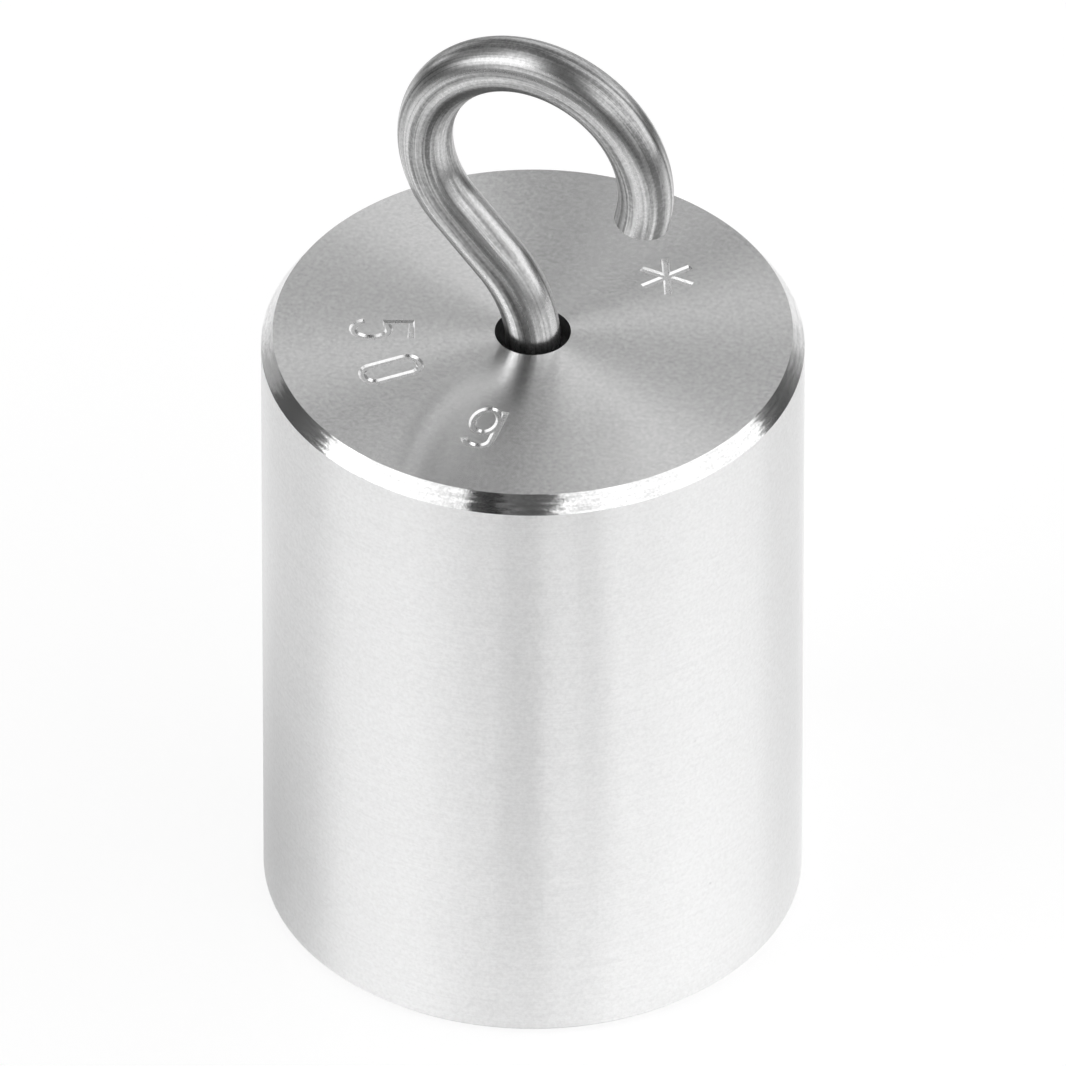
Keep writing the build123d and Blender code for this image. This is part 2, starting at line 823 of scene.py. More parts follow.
@dataclass
class Engraving:
    """The marks on the top face, cut with a pointed graver.

    Attributes:
        first_angle: where the first sign of the number stands.
        pitch: the angle from one sign to the next.
        number_radii: how far from the axis the sign at each place stands, 0 for a space.
        width: how wide the groove is at the surface.
        floor_width: how wide its flat floor is.
        depth: how deep it is.
        star_angle: where the star stands round the axis.
        star_radius: how far from it.
        wall_rise: how far the cutter's walls run on above the surface, in groove depths.
        touching: ends closer than this are one point.
        weld: points of a bar closer than this become one.
        marks: the signs, laid out from the values above.
    """

    first_angle: float = 203.0
    pitch: float = 24.4
    number_radii: tuple[float, ...] = (5.12 * MM, 5.24 * MM, 0.0, 5.50 * MM)
    width: float = 0.27 * MM
    floor_width: float = 0.12 * MM
    depth: float = 0.06 * MM
    star_angle: float = 57.3
    star_radius: float = 5.45 * MM
    wall_rise: float = 0.3
    touching: float = 0.01 * MM
    weld: float = 0.0001 * MM
    marks: list[Mark] = field(default_factory=list)

    def __post_init__(self) -> None:
        """Lay out the nominal mass, 50 g, and the star across from it."""
        signs = (five, nought, None, small_g)
        for place, (sign, radius) in enumerate(zip(signs, self.number_radii)):
            if sign is not None:
                self.marks.append(Mark(sign, self.first_angle + place * self.pitch, radius))
        self.marks.append(Mark(star, self.star_angle, self.star_radius))

    def cutter(self, top: float) -> bpy.types.Object:
        """Make the solid that the grooves take away.

        Args:
            top: height of the face that is engraved.

        Returns:
            One mesh object of pointed bars that follow the strokes.
        """
        section = self._section()
        bars = [self._bar(line, section, top) for mark in self.marks for line in mark.lines()]
        bpy.data.objects.remove(section)
        pick(bars[0])
        for bar in bars:
            bar.select_set(True)
        bpy.ops.object.join()
        return bpy.context.object

    def _curve(
        self, points: list[tuple[float, float, float]], closed: bool, dimensions: str
    ) -> bpy.types.Object:
        """Draw a curve of straight runs.

        Args:
            points: its corners.
            closed: whether it runs back to its start.
            dimensions: 2D for a flat outline, or 3D.

        Returns:
            The curve object.
        """
        rest_selection()
        bpy.ops.object.add(type="CURVE")
        curve = bpy.context.object
        curve.data.dimensions = dimensions
        spline = curve.data.splines.new("POLY")
        spline.points.add(len(points) - 1)
        for point, place in zip(spline.points, points):
            point.co = (*place, 1.0)
        spline.use_cyclic_u = closed
        return curve

    def _section(self) -> bpy.types.Object:
        """Draw the outline of the groove: a flat floor, sloping walls and room above.

        Returns:
            The closed curve.
        """
        half, floor = self.width / 2, self.floor_width / 2
        spread = half + self.wall_rise * (half - floor)
        above = self.wall_rise * self.depth
        right = [(floor, -self.depth, 0), (half, 0, 0), (spread, above, 0)]
        left = [(-across, up, 0) for across, up, _ in reversed(right)]
        return self._curve([left[-1], *right, *left[:-1]], closed=True, dimensions="2D")

    def _bar(self, line: list[Vector], section: bpy.types.Object, top: float) -> bpy.types.Object:
        """Draw the section along one stroke on the top face.

        Args:
            line: the stroke's points.
            section: the groove's outline.
            top: height of the face that is engraved.

        Returns:
            The solid bar.
        """
        closed = (line[0] - line[-1]).length < self.touching
        points = line[:-1] if closed else line
        path = [(place.x, place.y, top) for place in points]
        bar = self._curve(path, closed, dimensions="3D")
        bar.data.twist_mode = "Z_UP"
        bar.data.bevel_mode = "OBJECT"
        bar.data.bevel_object = section
        bar.data.use_fill_caps = True
        bpy.ops.object.convert(target="MESH")
        pick(bar)
        bpy.ops.object.mode_set(mode="EDIT")
        bpy.ops.mesh.select_all(action="SELECT")
        bpy.ops.mesh.remove_doubles(threshold=self.weld)
        bpy.ops.mesh.normals_make_consistent(inside=False)
        bpy.ops.object.mode_set(mode="OBJECT")
        return bar


# --- the body ------------------------------------------------------------


@dataclass
class TurnedBody:
    """The steel cylinder, turned from the base up and down into its bore.

    Attributes:
        radius: the side's radius.
        height: from base to top face.
        bevel_width: how far the top bevel reaches in.
        bevel_height: how far it reaches down.
        base_break: size of the broken base edge.
        mouth_radius: radius of the bore at the top face.
        mouth_depth: how deep the mouth is.
        seat_radius: radius of the seat below it.
        seat_length: how long the seat is.
        facets: how many faces go round.
        smooth_angle: the sharpest edge that is still shaded smooth.
        weld: points closer than this after the engraving become one.
        sliver: edges and faces narrower than this are dissolved.
        strays: how far from the top face a point is still brought level, in each pass.
        near: how far from a surface's edge a face may lie and still belong to it.
    """

    radius: float
    height: float
    seat_radius: float
    bevel_width: float = 0.40 * MM
    bevel_height: float = 0.60 * MM
    base_break: float = 0.25 * MM
    mouth_radius: float = 1.30 * MM
    mouth_depth: float = 3.0 * MM
    seat_length: float = 6.0 * MM
    facets: int = 256
    smooth_angle: float = 20.0
    weld: float = 0.001 * MM
    sliver: float = 0.002 * MM
    strays: tuple[float, ...] = (0.003 * MM, 0.008 * MM)
    near: float = 0.01 * MM

    def build(self, engraving: Engraving, effects: Effects) -> bpy.types.Object:
        """Turn the body, engrave it and dress each surface.

        Args:
            engraving: the marks to cut in the top face.
            effects: the shared node groups.

        Returns:
            The finished piece.
        """
        piece = self._turn()
        self._engrave(piece, engraving)
        settle(piece, self.smooth_angle)
        self._dress(piece, effects)
        return piece

    def profile(self) -> list[tuple[float, float]]:
        """List the rings, from the base edge up, in and down the bore.

        Returns:
            The radius and height of each ring.
        """
        seat_top = self.height - self.mouth_depth
        return [
            (self.radius - self.base_break, 0.0),
            (self.radius, self.base_break),
            (self.radius, self.height - self.bevel_height),
            (self.radius - self.bevel_width, self.height),
            (self.mouth_radius, self.height),
            (self.mouth_radius, seat_top),
            (self.seat_radius, seat_top),
            (self.seat_radius, seat_top - self.seat_length),
        ]

    def _turn(self) -> bpy.types.Object:
        """Grow the profile ring by ring and close both ends.

        Returns:
            The plain turned body.
        """
        rings = self.profile()
        rest_selection()
        bpy.ops.mesh.primitive_circle_add(
            vertices=self.facets, radius=rings[0][0], fill_type="NGON", location=(0, 0, rings[0][1])
        )
        piece = bpy.context.object
        piece.name = "turned_body"
        bpy.ops.object.mode_set(mode="EDIT")
        bpy.ops.mesh.select_mode(type="EDGE")
        bpy.ops.mesh.select_all(action="SELECT")
        bpy.ops.mesh.region_to_loop()
        for (radius, height), (new_radius, new_height) in zip(rings, rings[1:]):
            grow_ring(Vector((0, 0, new_height - height)), new_radius / radius)
        bpy.ops.mesh.edge_face_add()
        bpy.ops.object.mode_set(mode="OBJECT")
        bpy.ops.object.transform_apply(location=True, rotation=True, scale=True)
        return piece

    def _engrave(self, piece: bpy.types.Object, engraving: Engraving) -> None:
        """Take the engraving's grooves out of the top face.

        Args:
            piece: the plain body.
            engraving: the marks to cut.
        """
        settle(piece, self.smooth_angle)
        cutter = engraving.cutter(self.height)
        pick(piece)
        cut = piece.modifiers.new("grooves", "BOOLEAN")
        cut.operation = "DIFFERENCE"
        cut.solver = "EXACT"
        cut.use_self = True
        cut.object = cutter
        bpy.ops.object.modifier_apply(modifier=cut.name)
        bpy.data.objects.remove(cutter)
        self._flatten_top(piece)

    def _flatten_top(self, piece: bpy.types.Object) -> None:
        """Bring the top face's points level and merge the slivers that the cut leaves.

        Args:
            piece: the engraved body.
        """
        bpy.ops.object.mode_set(mode="EDIT")
        bpy.ops.mesh.select_mode(type="VERT")
        for stray in self.strays:
            bpy.ops.mesh.select_all(action="SELECT")
            bpy.ops.mesh.remove_doubles(threshold=self.weld)
            bpy.ops.mesh.dissolve_degenerate(threshold=self.sliver)
            select_where(piece, lambda place: abs(place.z - self.height) < stray)
            bpy.ops.transform.resize(value=(1, 1, 0), center_override=Vector((0, 0, self.height)))
        bpy.ops.object.mode_set(mode="OBJECT")

    def _region(self, centre: Vector, normal: Vector) -> Region:
        """Say which surface a face belongs to.

        Args:
            centre: the face's centre.
            normal: which way it faces.

        Returns:
            The surface.
        """
        level, mostly_level, mostly_down = 0.999, 0.9, -0.5
        reach = math.hypot(centre.x, centre.y)
        if centre.z > self.near:
            if reach < self.mouth_radius - self.near:
                return Region.BORE
            if reach < self.mouth_radius + self.near and normal.z < level:
                return Region.BORE
        if normal.z < mostly_down:
            return Region.BASE
        if centre.z > self.height - self.near / 10 and normal.z > mostly_level:
            return Region.TOP
        if reach < self.radius - self.bevel_width - self.near:
            return Region.MARK
        if centre.z > self.height - self.bevel_height:
            return Region.BEVEL
        return Region.SIDE

    def _dress(self, piece: bpy.types.Object, effects: Effects) -> None:
        """Give each face the finish of its surface.

        Args:
            piece: the engraved body.
            effects: the shared node groups.
        """
        piece.data.materials.clear()
        slots = {}
        for index, region in enumerate(Region):
            piece.data.materials.append(region.value.build(effects))
            slots[region] = index
        for face in piece.data.polygons:
            region = self._region(face.center, face.normal)
            face.material_index = slots[region]
            face.use_smooth = region is not Region.TOP


# --- the hook ------------------------------------------------------------

Station = tuple[Vector, Vector, float]


@dataclass
class HookWire:
    """The bent wire hook, grown ring by ring from its shank to its tip.

    Attributes:
        wire_radius: half the wire's thickness.
        foot: height of the shank's lower end.
        bend_start: height where the first bend starts.
        bend_radius: centre line radius of the first bend.
        bend_angle: how far it leans the wire over.
        neck: length of the straight stretch after it.
        loop_radius: centre line radius of the loop.
        tip_drop: how far past level the loop runs on.
        tip_length: straight stretch at the tip.
        tip_break: size of the broken edge at the tip.
        foot_break: size of the broken edge at the foot.
        facets: how many faces go round the wire.
        step: about how long one face is along a bend.
        straight_steps: how many of those one face is along a straight stretch.
        smooth_angle: the sharpest edge that is still shaded smooth.
    """

    wire_radius: float
    foot: float
    bend_start: float
    bend_radius: float = 4.5 * MM
    bend_angle: float = 43.3
    neck: float = 2.42 * MM
    loop_radius: float = 4.1 * MM
    tip_drop: float = 12.0
    tip_length: float = 0.47 * MM
    tip_break: float = 0.10 * MM
    foot_break: float = 0.20 * MM
    facets: int = 64
    step: float = 0.10 * MM
    straight_steps: int = 4
    smooth_angle: float = 30.0

    STRAIGHTENED: ClassVar[str] = "straightened_place"
    DIRECTION: ClassVar[str] = "drawing_direction"

    def build(self, finish: WireFinish, effects: Effects) -> bpy.types.Object:
        """Bend the wire and dress it.

        Args:
            finish: the wire's finish.
            effects: the shared node groups.

        Returns:
            The finished piece.
        """
        piece = self._bend()
        settle(piece, self.smooth_angle)
        self._note_drawing(piece)
        piece.data.materials.clear()
        piece.data.materials.append(finish.build(effects))
        return piece

    def _bend(self) -> bpy.types.Object:
        """Grow the wire: shank, lean, neck, loop and tip.

        Returns:
            The plain bent wire.
        """
        rest_selection()
        bpy.ops.mesh.primitive_circle_add(
            vertices=self.facets,
            radius=self.wire_radius - self.foot_break,
            fill_type="NGON",
            location=(0, 0, self.foot),
        )
        piece = bpy.context.object
        piece.name = "hook_wire"
        bpy.ops.object.mode_set(mode="EDIT")
        bpy.ops.mesh.select_mode(type="EDGE")
        bpy.ops.mesh.select_all(action="SELECT")
        bpy.ops.mesh.region_to_loop()
        scale = self.wire_radius / (self.wire_radius - self.foot_break)
        grow_ring(Vector((0, 0, self.foot_break)), scale)
        self._run(Vector((0, 0, 1)), self.bend_start - self.foot - self.foot_break)
        self._turn(self.lean_centre(), -self.bend_angle, self.bend_radius)
        self._run(self.neck_direction(), self.neck)
        self._turn(self.loop_centre(), 180 + self.bend_angle + self.tip_drop, self.loop_radius)
        self._run(self.tip_direction(), self.tip_length - self.tip_break)
        self._close_tip()
        bpy.ops.object.mode_set(mode="OBJECT")
        bpy.ops.object.transform_apply(location=True, rotation=True, scale=True)
        return piece

    def _run(self, direction: Vector, length: float) -> None:
        """Grow a straight stretch in even steps.

        Args:
            direction: which way it runs.
            length: how long it is.
        """
        steps = max(1, round(length / self.step / self.straight_steps))
        for _ in range(steps):
            grow_ring(direction * (length / steps))

    def _turn(self, centre: Vector, angle: float, radius: float) -> None:
        """Grow a bend in the hook's plane.

        Args:
            centre: the bend's centre.
            angle: how far it turns, clockwise as seen from -Y.
            radius: its centre line radius.
        """
        turn = math.radians(angle)
        steps = max(2, round(abs(turn) * radius / self.step))
        bpy.ops.mesh.spin(steps=steps, angle=-turn, center=centre, axis=(0, 1, 0))

    def _close_tip(self) -> None:
        """Grow the broken edge of the cut tip and close it."""
        forward = self.tip_direction() * self.tip_break
        bpy.ops.mesh.extrude_edges_move(TRANSFORM_OT_translate={"value": forward})
        shrink = (self.wire_radius - self.tip_break) / self.wire_radius
        bpy.ops.transform.resize(value=(shrink, shrink, shrink), center_override=self.tip_end())
        bpy.ops.mesh.edge_face_add()

    def lean_centre(self) -> Vector:
        """Find the centre of the first bend."""
        return Vector((-self.bend_radius, 0, self.bend_start))

    def neck_direction(self) -> Vector:
        """Find which way the neck runs."""
        lean = math.radians(self.bend_angle)
        return Vector((-math.sin(lean), 0, math.cos(lean)))

    def neck_end(self) -> Vector:
        """Find where the neck meets the loop.

        Returns:
            The place on the wire's centre line.
        """
        lean = math.radians(self.bend_angle)
        start = self.lean_centre() + Vector((math.cos(lean), 0, math.sin(lean))) * self.bend_radius
        return start + self.neck_direction() * self.neck

    def loop_centre(self) -> Vector:
        """Find the centre of the loop."""
        lean = math.radians(self.bend_angle)
        return self.neck_end() + Vector((math.cos(lean), 0, math.sin(lean))) * self.loop_radius

    def tip_direction(self) -> Vector:
        """Find which way the wire runs at its tip."""
        drop = math.radians(self.tip_drop)
        return Vector((-math.sin(drop), 0, -math.cos(drop)))

    def tip_end(self) -> Vector:
        """Find the centre of the cut face at the tip.

        Returns:
            The place on the wire's centre line.
        """
        drop = math.radians(self.tip_drop)
        out = Vector((math.cos(drop), 0, -math.sin(drop)))
        return self.loop_centre() + out * self.loop_radius + self.tip_direction() * self.tip_length

    def _straight_stations(
        self, start: Vector, direction: Vector, length: float, done: float
    ) -> Iterator[Station]:
        """Step along a straight stretch.

        Args:
            start: where it starts.
            direction: which way it runs.
            length: how long it is.
            done: how far its start is from the foot.

        Returns:
            Centre, direction and distance from the foot, step by step.
        """
        pace = self.step / 2
        for i in range(1, round(length / pace) + 1):
            yield start + direction * (i * pace), direction, done + i * pace

    def _bent_stations(
        self, centre: Vector, radius: float, start: float, sweep: float, done: float
    ) -> Iterator[Station]:
        """Step round a bend.

        Args:
            centre: the bend's centre.
            radius: its centre line radius.
            start: the angle that it starts at, from +X towards +Z.
            sweep: how far it goes round, below 0 where it goes back.
            done: how far its start is from the foot.

        Returns:
            Centre, direction and distance from the foot, step by step.
        """
        pace = self.step / 2
        sense = math.copysign(1.0, sweep)
        for i in range(1, round(abs(math.radians(sweep)) * radius / pace) + 1):
            turn = math.radians(start) + sense * i * pace / radius
            out = Vector((math.cos(turn), 0, math.sin(turn)))
            yield centre + out * radius, Vector((-out.z, 0, out.x)) * sense, done + i * pace

    def stations(self) -> Iterator[Station]:
        """Step along the whole wire, close together.

        Returns:
            Centre, direction and distance from the foot, step by step.
        """
        foot, up = Vector((0, 0, self.foot)), Vector((0, 0, 1))
        shank = self.bend_start - self.foot
        loop_start = 180 + self.bend_angle
        loop_sweep = loop_start + self.tip_drop
        neck_start = self.neck_end() - self.neck_direction() * self.neck
        tip_start = self.tip_end() - self.tip_direction() * self.tip_length
        lean_done = shank + math.radians(self.bend_angle) * self.bend_radius
        neck_done = lean_done + self.neck
        loop_done = neck_done + math.radians(loop_sweep) * self.loop_radius
        yield foot, up, 0.0
        yield from self._straight_stations(foot, up, shank, 0.0)
        yield from self._bent_stations(
            self.lean_centre(), self.bend_radius, 0.0, self.bend_angle, shank
        )
        yield from self._straight_stations(
            neck_start, self.neck_direction(), self.neck, lean_done
        )
        yield from self._bent_stations(
            self.loop_centre(), self.loop_radius, loop_start, -loop_sweep, neck_done
        )
        yield from self._straight_stations(
            tip_start, self.tip_direction(), self.tip_length, loop_done
        )

    def _note_drawing(self, piece: bpy.types.Object) -> None:
        """Note each vertex's place on the straightened wire and the wire's direction there.

        Args:
            piece: the bent wire.
        """
        stations = list(self.stations())
        nearest = KDTree(len(stations))
        for index, (centre, _, _) in enumerate(stations):
            nearest.insert(centre, index)
        nearest.balance()
        straight = piece.data.attributes.new(self.STRAIGHTENED, "FLOAT_VECTOR", "POINT")
        drawn = piece.data.attributes.new(self.DIRECTION, "FLOAT_VECTOR", "POINT")
        sideways = Vector((0, 1, 0))
        for vertex in piece.data.vertices:
            _, index, _ = nearest.find(vertex.co)
            centre, direction, distance = stations[index]
            offset = vertex.co - centre
            across = sideways.cross(direction)
            place = (offset.dot(sideways), offset.dot(across), distance)
            straight.data[vertex.index].vector = place
            drawn.data[vertex.index].vector = direction


# --- the studio ----------------------------------------------------------


def azimuth_of(
    board: NodeBoard, x: bpy.types.NodeSocket, y: bpy.types.NodeSocket, front: float
) -> bpy.types.NodeSocket:
    """Work out the degrees round from the front to a direction or place.

    Args:
        board: the board to work on.
        x: how far it lies along X.
        y: how far it lies along Y.
        front: the front's own direction, from -Y towards +X.

    Returns:
        The degrees.
    """
    turned = board.math("ARCTAN2", x, board.math("MULTIPLY", y, -1.0))
    return board.math("SUBTRACT", board.math("DEGREES", turned), front)


@dataclass(frozen=True)
class Strip:
    """A soft-edged stretch of directions round the weight.

    Attributes:
        name: what it stands for.
        azimuth: its centre, from the camera's side, to the right.
        half_width: half its reach sideways.
        soft: how far its edges fade.
    """

    name: str
    azimuth: float
    half_width: float
    soft: float

    def within(self, board: NodeBoard, value: object, half: float) -> bpy.types.NodeSocket:
        """Fade from 1 where a value is near 0 to 0 where it is past a reach.

        Args:
            board: the board to work on.
            value: the value, of either sign.
            half: how far the reach is.

        Returns:
            The mask.
        """
        past = board.math("SUBTRACT", board.math("ABSOLUTE", value), half)
        return board.ramp(past, -self.soft, self.soft, 1.0, 0.0)

    def sideways(self, board: NodeBoard, azimuth: object) -> bpy.types.NodeSocket:
        """Fade from 1 within the reach sideways to 0 beside it.

        Args:
            board: the board to work on.
            azimuth: the direction, in degrees from the camera's side.

        Returns:
            The mask.
        """
        away = board.math("WRAP", board.math("SUBTRACT", azimuth, self.azimuth), 180.0, -180.0)
        return self.within(board, away, self.half_width)


@dataclass(frozen=True)
class Panel(Strip):
    """A soft-edged patch of the surroundings, seen from the weight.

    Attributes:
        elevation: its centre, above the horizon.
        half_height: half its reach up and down.
        level: how bright it is, where 1 is white.
    """

    elevation: float
    half_height: float
    level: float

    def mask(self, board: NodeBoard, azimuth: object, elevation: object) -> bpy.types.NodeSocket:
        """Fade from 1 inside the panel to 0 outside it.

        Args:
            board: the world's board.
            azimuth: the direction, in degrees from the camera's side.
            elevation: the direction, in degrees above the horizon.

        Returns:
            The mask.
        """
        rise = board.math("SUBTRACT", elevation, self.elevation)
        inside_height = self.within(board, rise, self.half_height)
        return board.math("MULTIPLY", self.sideways(board, azimuth), inside_height)


@dataclass(frozen=True)
class Shade(Strip):
    """A soft strip of shade on the floor, running out from under the weight.

    Attributes:
        depth: how much of the light it takes.
        start: how far from the axis it starts.
        reach: how far from the axis it ends.
        fade: how far before and past its ends it fades, as a share of their distance.
    """

    depth: float
    start: float
    reach: float
    fade: float = 0.4

    def left(self, board: NodeBoard, azimuth: object, distance: object) -> bpy.types.NodeSocket:
        """Work out how much of the light it leaves.

        Args:
            board: the floor's board.
            azimuth: the place, in degrees from the camera's side.
            distance: how far the place is from the axis.

        Returns:
            The share that is left.
        """
        early, late = 1 - self.fade, 1 + self.fade
        begun = board.ramp(distance, early * self.start, late * self.start, 0.0, 1.0)
        going = board.ramp(distance, early * self.reach, late * self.reach, 1.0, 0.0)
        along = board.math("MULTIPLY", begun, going)
        inside = board.math("MULTIPLY", self.sideways(board, azimuth), along)
        return board.math("MULTIPLY_ADD", inside, -self.depth, 1.0)


@dataclass(frozen=True)
class PaleFloor:
    """A floor that is white to the camera and keeps the weight's soft shade on the metal.

    How far and how strongly it is lit, and its shades, are fitted numbers, as the
    studio's panels are.

    Attributes:
        size: the side of the square.
        drop: how far it lies below the base, so that they share no plane.
        lit_reach: how far from the axis the floor is fully lit.
        dim_reach: how far from it the floor is as dim as it gets.
        lit: how strongly it is lit near the weight.
        dim: how strongly it is lit far from it.
        shadow_place: the middle of the small shadow beside the base.
        shadow_reach: how far from there it is darkest, and how far it goes.
        shadow_left: how much of the light is left in its middle.
        metal_white: grey of the fully lit floor as the metal sees it.
        metal_glow: how much it glows to the metal.
        camera_grey: grey of the floor as the camera sees it.
        camera_glow: how much it glows to the camera.
        shades: the strips of shade on it.
    """

    size: float = 1.5
    drop: float = 0.01 * MM
    lit_reach: float = 25 * MM
    dim_reach: float = 225 * MM
    lit: float = 1.07
    dim: float = 0.11
    shadow_place: tuple[float, float, float] = (-13 * MM, 0.0, 0.0)
    shadow_reach: tuple[float, float] = (2 * MM, 16 * MM)
    shadow_left: float = 0.62
    metal_white: float = 0.92
    metal_glow: float = 0.26
    camera_grey: float = 0.28
    camera_glow: float = 0.79
    shades: tuple[Shade, ...] = (
        Shade(
            "camera's shade",
            azimuth=-4.5,
            half_width=7,
            soft=1.2,
            depth=0.76,
            start=23.3 * MM,
            reach=28 * MM,
        ),
        Shade(
            "stand's shade",
            azimuth=23,
            half_width=6,
            soft=4,
            depth=0.51,
            start=25 * MM,
            reach=33 * MM,
        ),
    )

    def build(self, front: float) -> None:
        """Lay the floor.

        Args:
            front: the camera's direction round the weight, from -Y towards +X.
        """
        rest_selection()
        bpy.ops.mesh.primitive_plane_add(size=self.size, location=(0, 0, -self.drop))
        bpy.ops.object.transform_apply(location=True, rotation=True, scale=True)
        floor = bpy.context.object
        floor.name = "pale_floor"
        floor.data.materials.append(self._material(front))

    def _material(self, front: float) -> bpy.types.Material:
        """Make the floor's material, one way for the camera and another for the metal.

        Args:
            front: the camera's direction round the weight, from -Y towards +X.

        Returns:
            The finished material.
        """
        material = bpy.data.materials.new("pale_floor")
        material.use_nodes = True
        board = NodeBoard(material.node_tree)
        board.tree.nodes.remove(board.tree.nodes["Principled BSDF"])
        light = self._light(board, front)
        glow = board.math("MULTIPLY", light, self.metal_glow)
        metal_side = self._side(board, board.grey(light, 0.0, self.metal_white), glow)
        grey = (self.camera_grey, self.camera_grey, self.camera_grey, 1)
        camera_side = self._side(board, grey, self.camera_glow)
        seen = board.add("ShaderNodeLightPath").outputs["Is Camera Ray"]
        either = board.add("ShaderNodeMixShader", {0: seen, 1: metal_side, 2: camera_side})
        board.feed(board.tree.nodes["Material Output"], {"Surface": either.outputs[0]})
        return material

    def _side(self, board: NodeBoard, colour: object, glow: object) -> bpy.types.NodeSocket:
        """Add a matt surface and a glow together.

        Args:
            board: the floor's board.
            colour: the matt surface's colour.
            glow: the glow's strength.

        Returns:
            The shader.
        """
        matt = board.add("ShaderNodeBsdfDiffuse", {"Color": colour}).outputs[0]
        glowing = board.add("ShaderNodeEmission", {"Strength": glow}).outputs[0]
        return board.add("ShaderNodeAddShader", {0: matt, 1: glowing}).outputs[0]

    def _light(self, board: NodeBoard, front: float) -> bpy.types.NodeSocket:
        """Work out how strongly each place on the floor is lit.

        Args:
            board: the floor's board.
            front: the camera's direction round the weight, from -Y towards +X.

        Returns:
            The light, where 1 is white.
        """
        place = board.place()
        x, y, _ = board.split(place)
        azimuth = azimuth_of(board, x, y, front)
        distance = board.distance(place, (0, 0, 0))
        light = board.ramp(distance, self.lit_reach, self.dim_reach, self.lit, self.dim)
        for shade in self.shades:
            light = board.math("MULTIPLY", light, shade.left(board, azimuth, distance))
        away = board.distance(place, self.shadow_place)
        shadow = board.ramp(away, *self.shadow_reach, self.shadow_left, 1.0)
        return board.math("MULTIPLY", light, shadow)


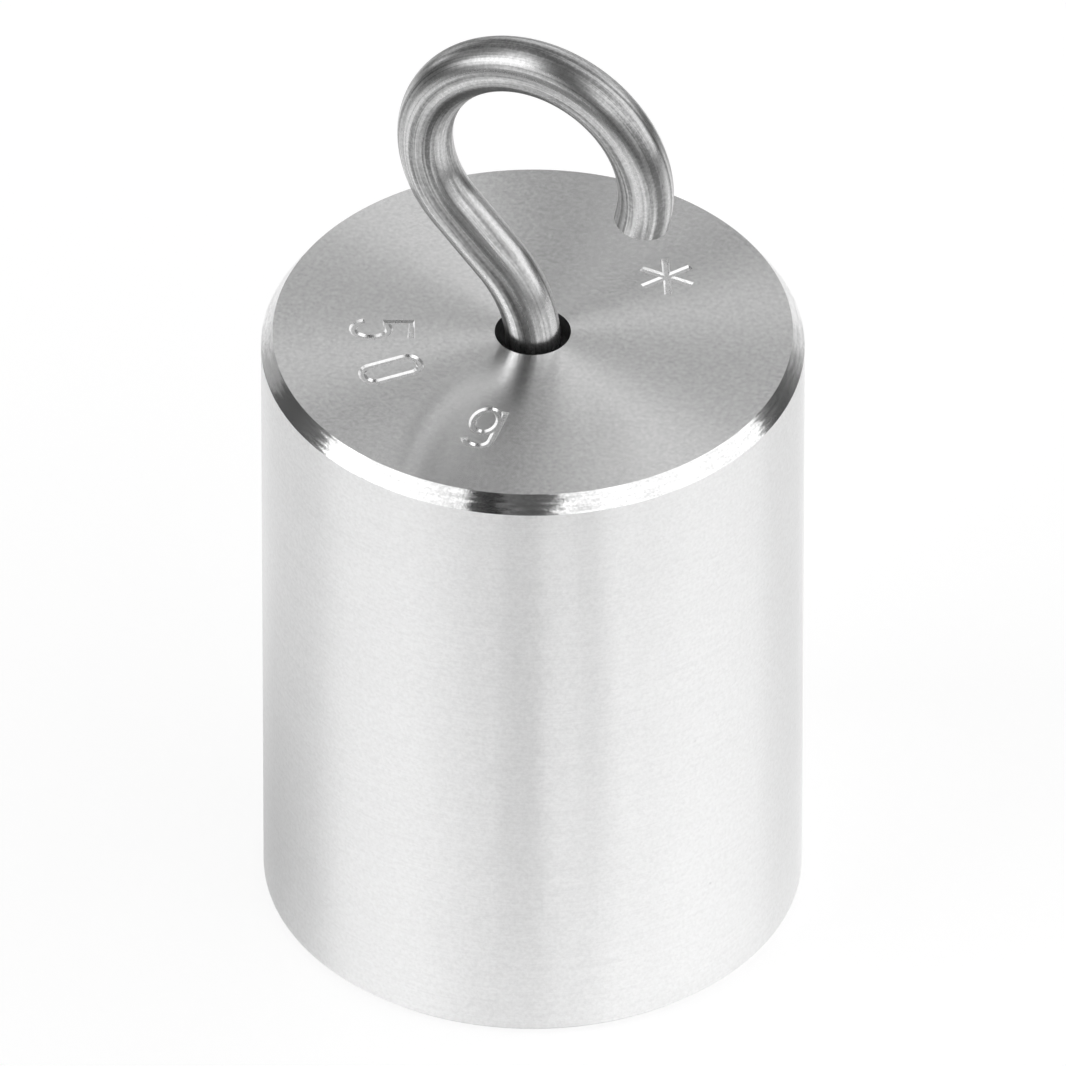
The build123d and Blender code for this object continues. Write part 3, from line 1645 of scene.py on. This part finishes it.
@dataclass
class Studio:
    """Camera, soft surroundings and a pale floor.

    The room is invented, and most of its numbers weren't chosen by hand. Another
    program fitted the panels, the ceiling, the floor's light and the floor's shades
    to the bands of light and dark that the metal should show, and they were then
    rounded. The names of the panels and shades only say what each might be.

    Attributes:
        view_azimuth: the camera's direction round the weight, from -Y towards +X.
        view_elevation: how high it looks down from.
        lens: focal length, in millimetres.
        sensor: the sensor's width, in millimetres.
        clip: nearest and furthest that the camera sees, as shares of its distance.
        frame_pixels: the side of the square picture.
        top_centre_pixel: where the centre of the top face falls in it.
        pixels_per_radius: how large the body's radius is there.
        ceiling: how bright the room is where there is no panel.
        panels: the patches of the room, each painted over those before it.
        floor: the floor.
    """

    view_azimuth: float = 24.14
    view_elevation: float = 38.64
    lens: float = 1380.0
    sensor: float = 36.0
    clip: tuple[float, float] = (0.1, 3.0)
    frame_pixels: float = 1066.0
    top_centre_pixel: tuple[float, float] = (532.8, 331.2)
    pixels_per_radius: float = 272.0
    ceiling: float = 0.04
    panels: tuple[Panel, ...] = (
        Panel(
            "wall behind",
            azimuth=175.5,
            elevation=11,
            half_width=60,
            half_height=31,
            soft=7,
            level=1.17,
        ),
        Panel(
            "ceiling lamp",
            azimuth=-125,
            elevation=78.5,
            half_width=25.5,
            half_height=24.5,
            soft=7.5,
            level=1.31,
        ),
        Panel(
            "dark curtain",
            azimuth=-122.5,
            elevation=23.5,
            half_width=52.5,
            half_height=13.5,
            soft=2,
            level=0.23,
        ),
        Panel(
            "right softbox",
            azimuth=97.5,
            elevation=29.5,
            half_width=70,
            half_height=39,
            soft=7,
            level=1.27,
        ),
        Panel(
            "upper wall",
            azimuth=154.5,
            elevation=37.5,
            half_width=26.5,
            half_height=14.5,
            soft=2.5,
            level=0.42,
        ),
        Panel(
            "doorway",
            azimuth=117.5,
            elevation=3,
            half_width=17,
            half_height=9.5,
            soft=2,
            level=0.0,
        ),
        Panel(
            "left softbox",
            azimuth=-67.5,
            elevation=39.5,
            half_width=22,
            half_height=28,
            soft=2,
            level=2.09,
        ),
        Panel(
            "left fill",
            azimuth=-41,
            elevation=21,
            half_width=31.5,
            half_height=12,
            soft=9,
            level=1.30,
        ),
        Panel(
            "gap over the camera",
            azimuth=6.5,
            elevation=58,
            half_width=22,
            half_height=39.5,
            soft=8.5,
            level=0.10,
        ),
        Panel(
            "lamp by the camera",
            azimuth=38,
            elevation=37,
            half_width=28,
            half_height=11,
            soft=3,
            level=1.71,
        ),
        Panel(
            "camera stand",
            azimuth=-19,
            elevation=45,
            half_width=7.5,
            half_height=30,
            soft=2.5,
            level=0.0,
        ),
        Panel(
            "gap by the stand",
            azimuth=9,
            elevation=6.5,
            half_width=3.5,
            half_height=8.5,
            soft=2.5,
            level=0.66,
        ),
        Panel(
            "low fill",
            azimuth=42.5,
            elevation=1.5,
            half_width=12.5,
            half_height=19,
            soft=12,
            level=0.60,
        ),
    )
    floor: PaleFloor = PaleFloor()

    def build(self, radius: float, height: float) -> None:
        """Set up the whole studio.

        Args:
            radius: the body's radius.
            height: the height of its top face.
        """
        self._camera(radius, height)
        self._surroundings()
        self.floor.build(self.view_azimuth)

    def _camera(self, radius: float, height: float) -> None:
        """Place a long lens so that the top face lands at its place in the picture.

        Args:
            radius: the body's radius.
            height: the height of its top face.
        """
        a, e = math.radians(self.view_azimuth), math.radians(self.view_elevation)
        back = Vector((math.sin(a) * math.cos(e), -math.cos(a) * math.cos(e), math.sin(e)))
        right = Vector((math.cos(a), math.sin(a), 0))
        up = back.cross(right)
        pixel = radius / self.pixels_per_radius
        distance = self.lens / self.sensor * self.frame_pixels * pixel
        top_centre = Vector((0, 0, height))
        middle = self.frame_pixels / 2
        off_right = (middle - self.top_centre_pixel[0]) * pixel
        off_down = (middle - self.top_centre_pixel[1]) * pixel
        target = top_centre + right * off_right - up * off_down
        place = top_centre + back * distance
        lens = bpy.data.cameras.new("studio_camera")
        lens.lens = self.lens
        lens.sensor_width = self.sensor
        lens.clip_start = distance * self.clip[0]
        lens.clip_end = distance * self.clip[1]
        camera = bpy.data.objects.new("studio_camera", lens)
        camera.location = place
        camera.rotation_euler = (target - place).to_track_quat("-Z", "Y").to_euler()
        bpy.context.scene.collection.objects.link(camera)
        bpy.context.scene.camera = camera
        bpy.context.scene.view_settings.view_transform = "Standard"

    def _surroundings(self) -> None:
        """Paint the room by direction: white to the camera, soft panels to the metal."""
        world = bpy.data.worlds.new("studio")
        bpy.context.scene.world = world
        world.use_nodes = True
        board = NodeBoard(world.node_tree)
        x, y, z = board.split(board.add("ShaderNodeTexCoord").outputs["Generated"])
        azimuth = azimuth_of(board, x, y, self.view_azimuth)
        elevation = board.math("DEGREES", board.math("ARCSINE", z))
        level = self.ceiling
        for panel in self.panels:
            level = board.mix(panel.mask(board, azimuth, elevation), level, panel.level)
        seen = board.add("ShaderNodeLightPath").outputs["Is Camera Ray"]
        light = {"Strength": board.mix(seen, level, 1.0), "Color": (1, 1, 1, 1)}
        board.feed(board.tree.nodes["Background"], light)


# --- the whole weight ----------------------------------------------------


def report(piece: bpy.types.Object) -> None:
    """Log a piece's name, faces and size."""
    size = " x ".join(f"{side / MM:.2f}" for side in piece.dimensions)
    log.info("%s: %d faces, %s mm", piece.name, len(piece.data.polygons), size)


def main() -> None:
    """Load the frame, build and dress the pieces, and set up the studio."""
    logging.basicConfig(level=logging.INFO, format="%(name)s: %(message)s")
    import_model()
    _, body_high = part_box("body")
    hook_low, hook_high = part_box("hook")
    effects = Effects()
    wire_radius = (hook_high.y - hook_low.y) / 2
    seat_radius = wire_radius + BONDING_FILM
    body = TurnedBody(radius=body_high.x, height=body_high.z, seat_radius=seat_radius)
    body_piece = body.build(Engraving(), effects)
    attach(body_piece, BODY)
    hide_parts("body")
    report(body_piece)
    bend_start = body_high.z - BEND_START_DEPTH
    hook = HookWire(wire_radius=wire_radius, foot=hook_low.z, bend_start=bend_start)
    hook_piece = hook.build(WireFinish(), effects)
    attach(hook_piece, BODY)
    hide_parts("hook")
    report(hook_piece)
    Studio().build(body_high.x, body_high.z)


if __name__ == "__main__":
    main()
